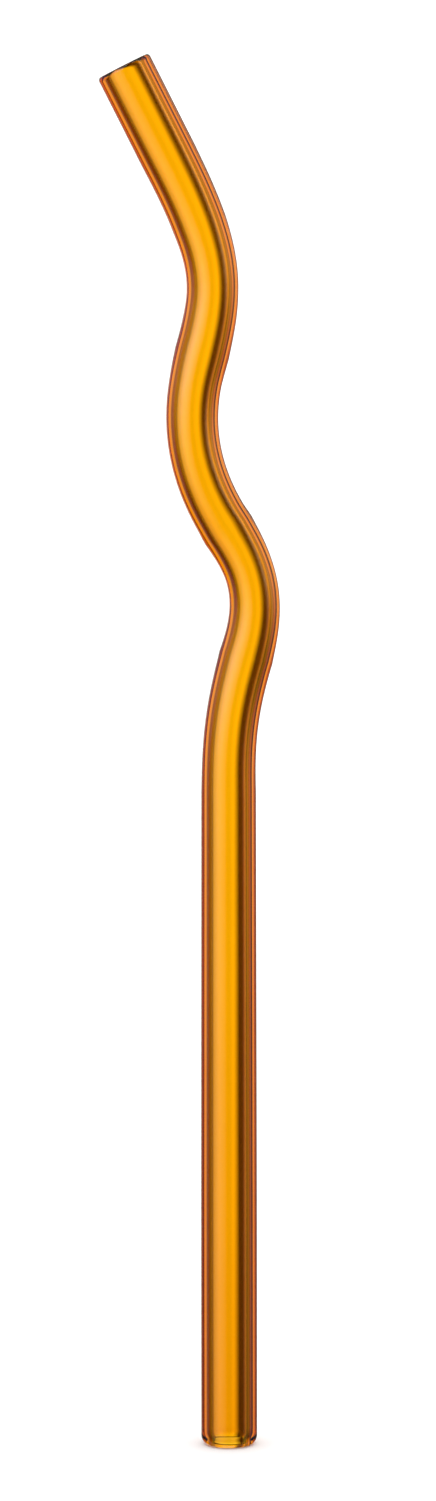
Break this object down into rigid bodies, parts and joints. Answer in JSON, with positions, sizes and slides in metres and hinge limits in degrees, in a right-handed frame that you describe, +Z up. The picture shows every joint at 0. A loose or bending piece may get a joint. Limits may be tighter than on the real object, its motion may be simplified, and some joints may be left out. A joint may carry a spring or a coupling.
{
  "type": "wavy glass drinking straw",
  "caption": "Hollow amber glass drinking straw: straight lower half, flat S-shaped wave above, tilted top end, rounded open lips.",
  "frame": {"origin": "centre of the lower end, on the tube's centreline", "axes": "+Z up the straight lower half, -X towards the top end, +Y across the plane of the wave"},
  "size_m": [0.0257, 0.0082, 0.2014],
  "materials": {
    "amber_glass": "clear fire-polished glass tinted amber right through its wall"
  },
  "bodies": {
    "root": {"glass_tube": "amber_glass"}
  },
  "joints": []
}
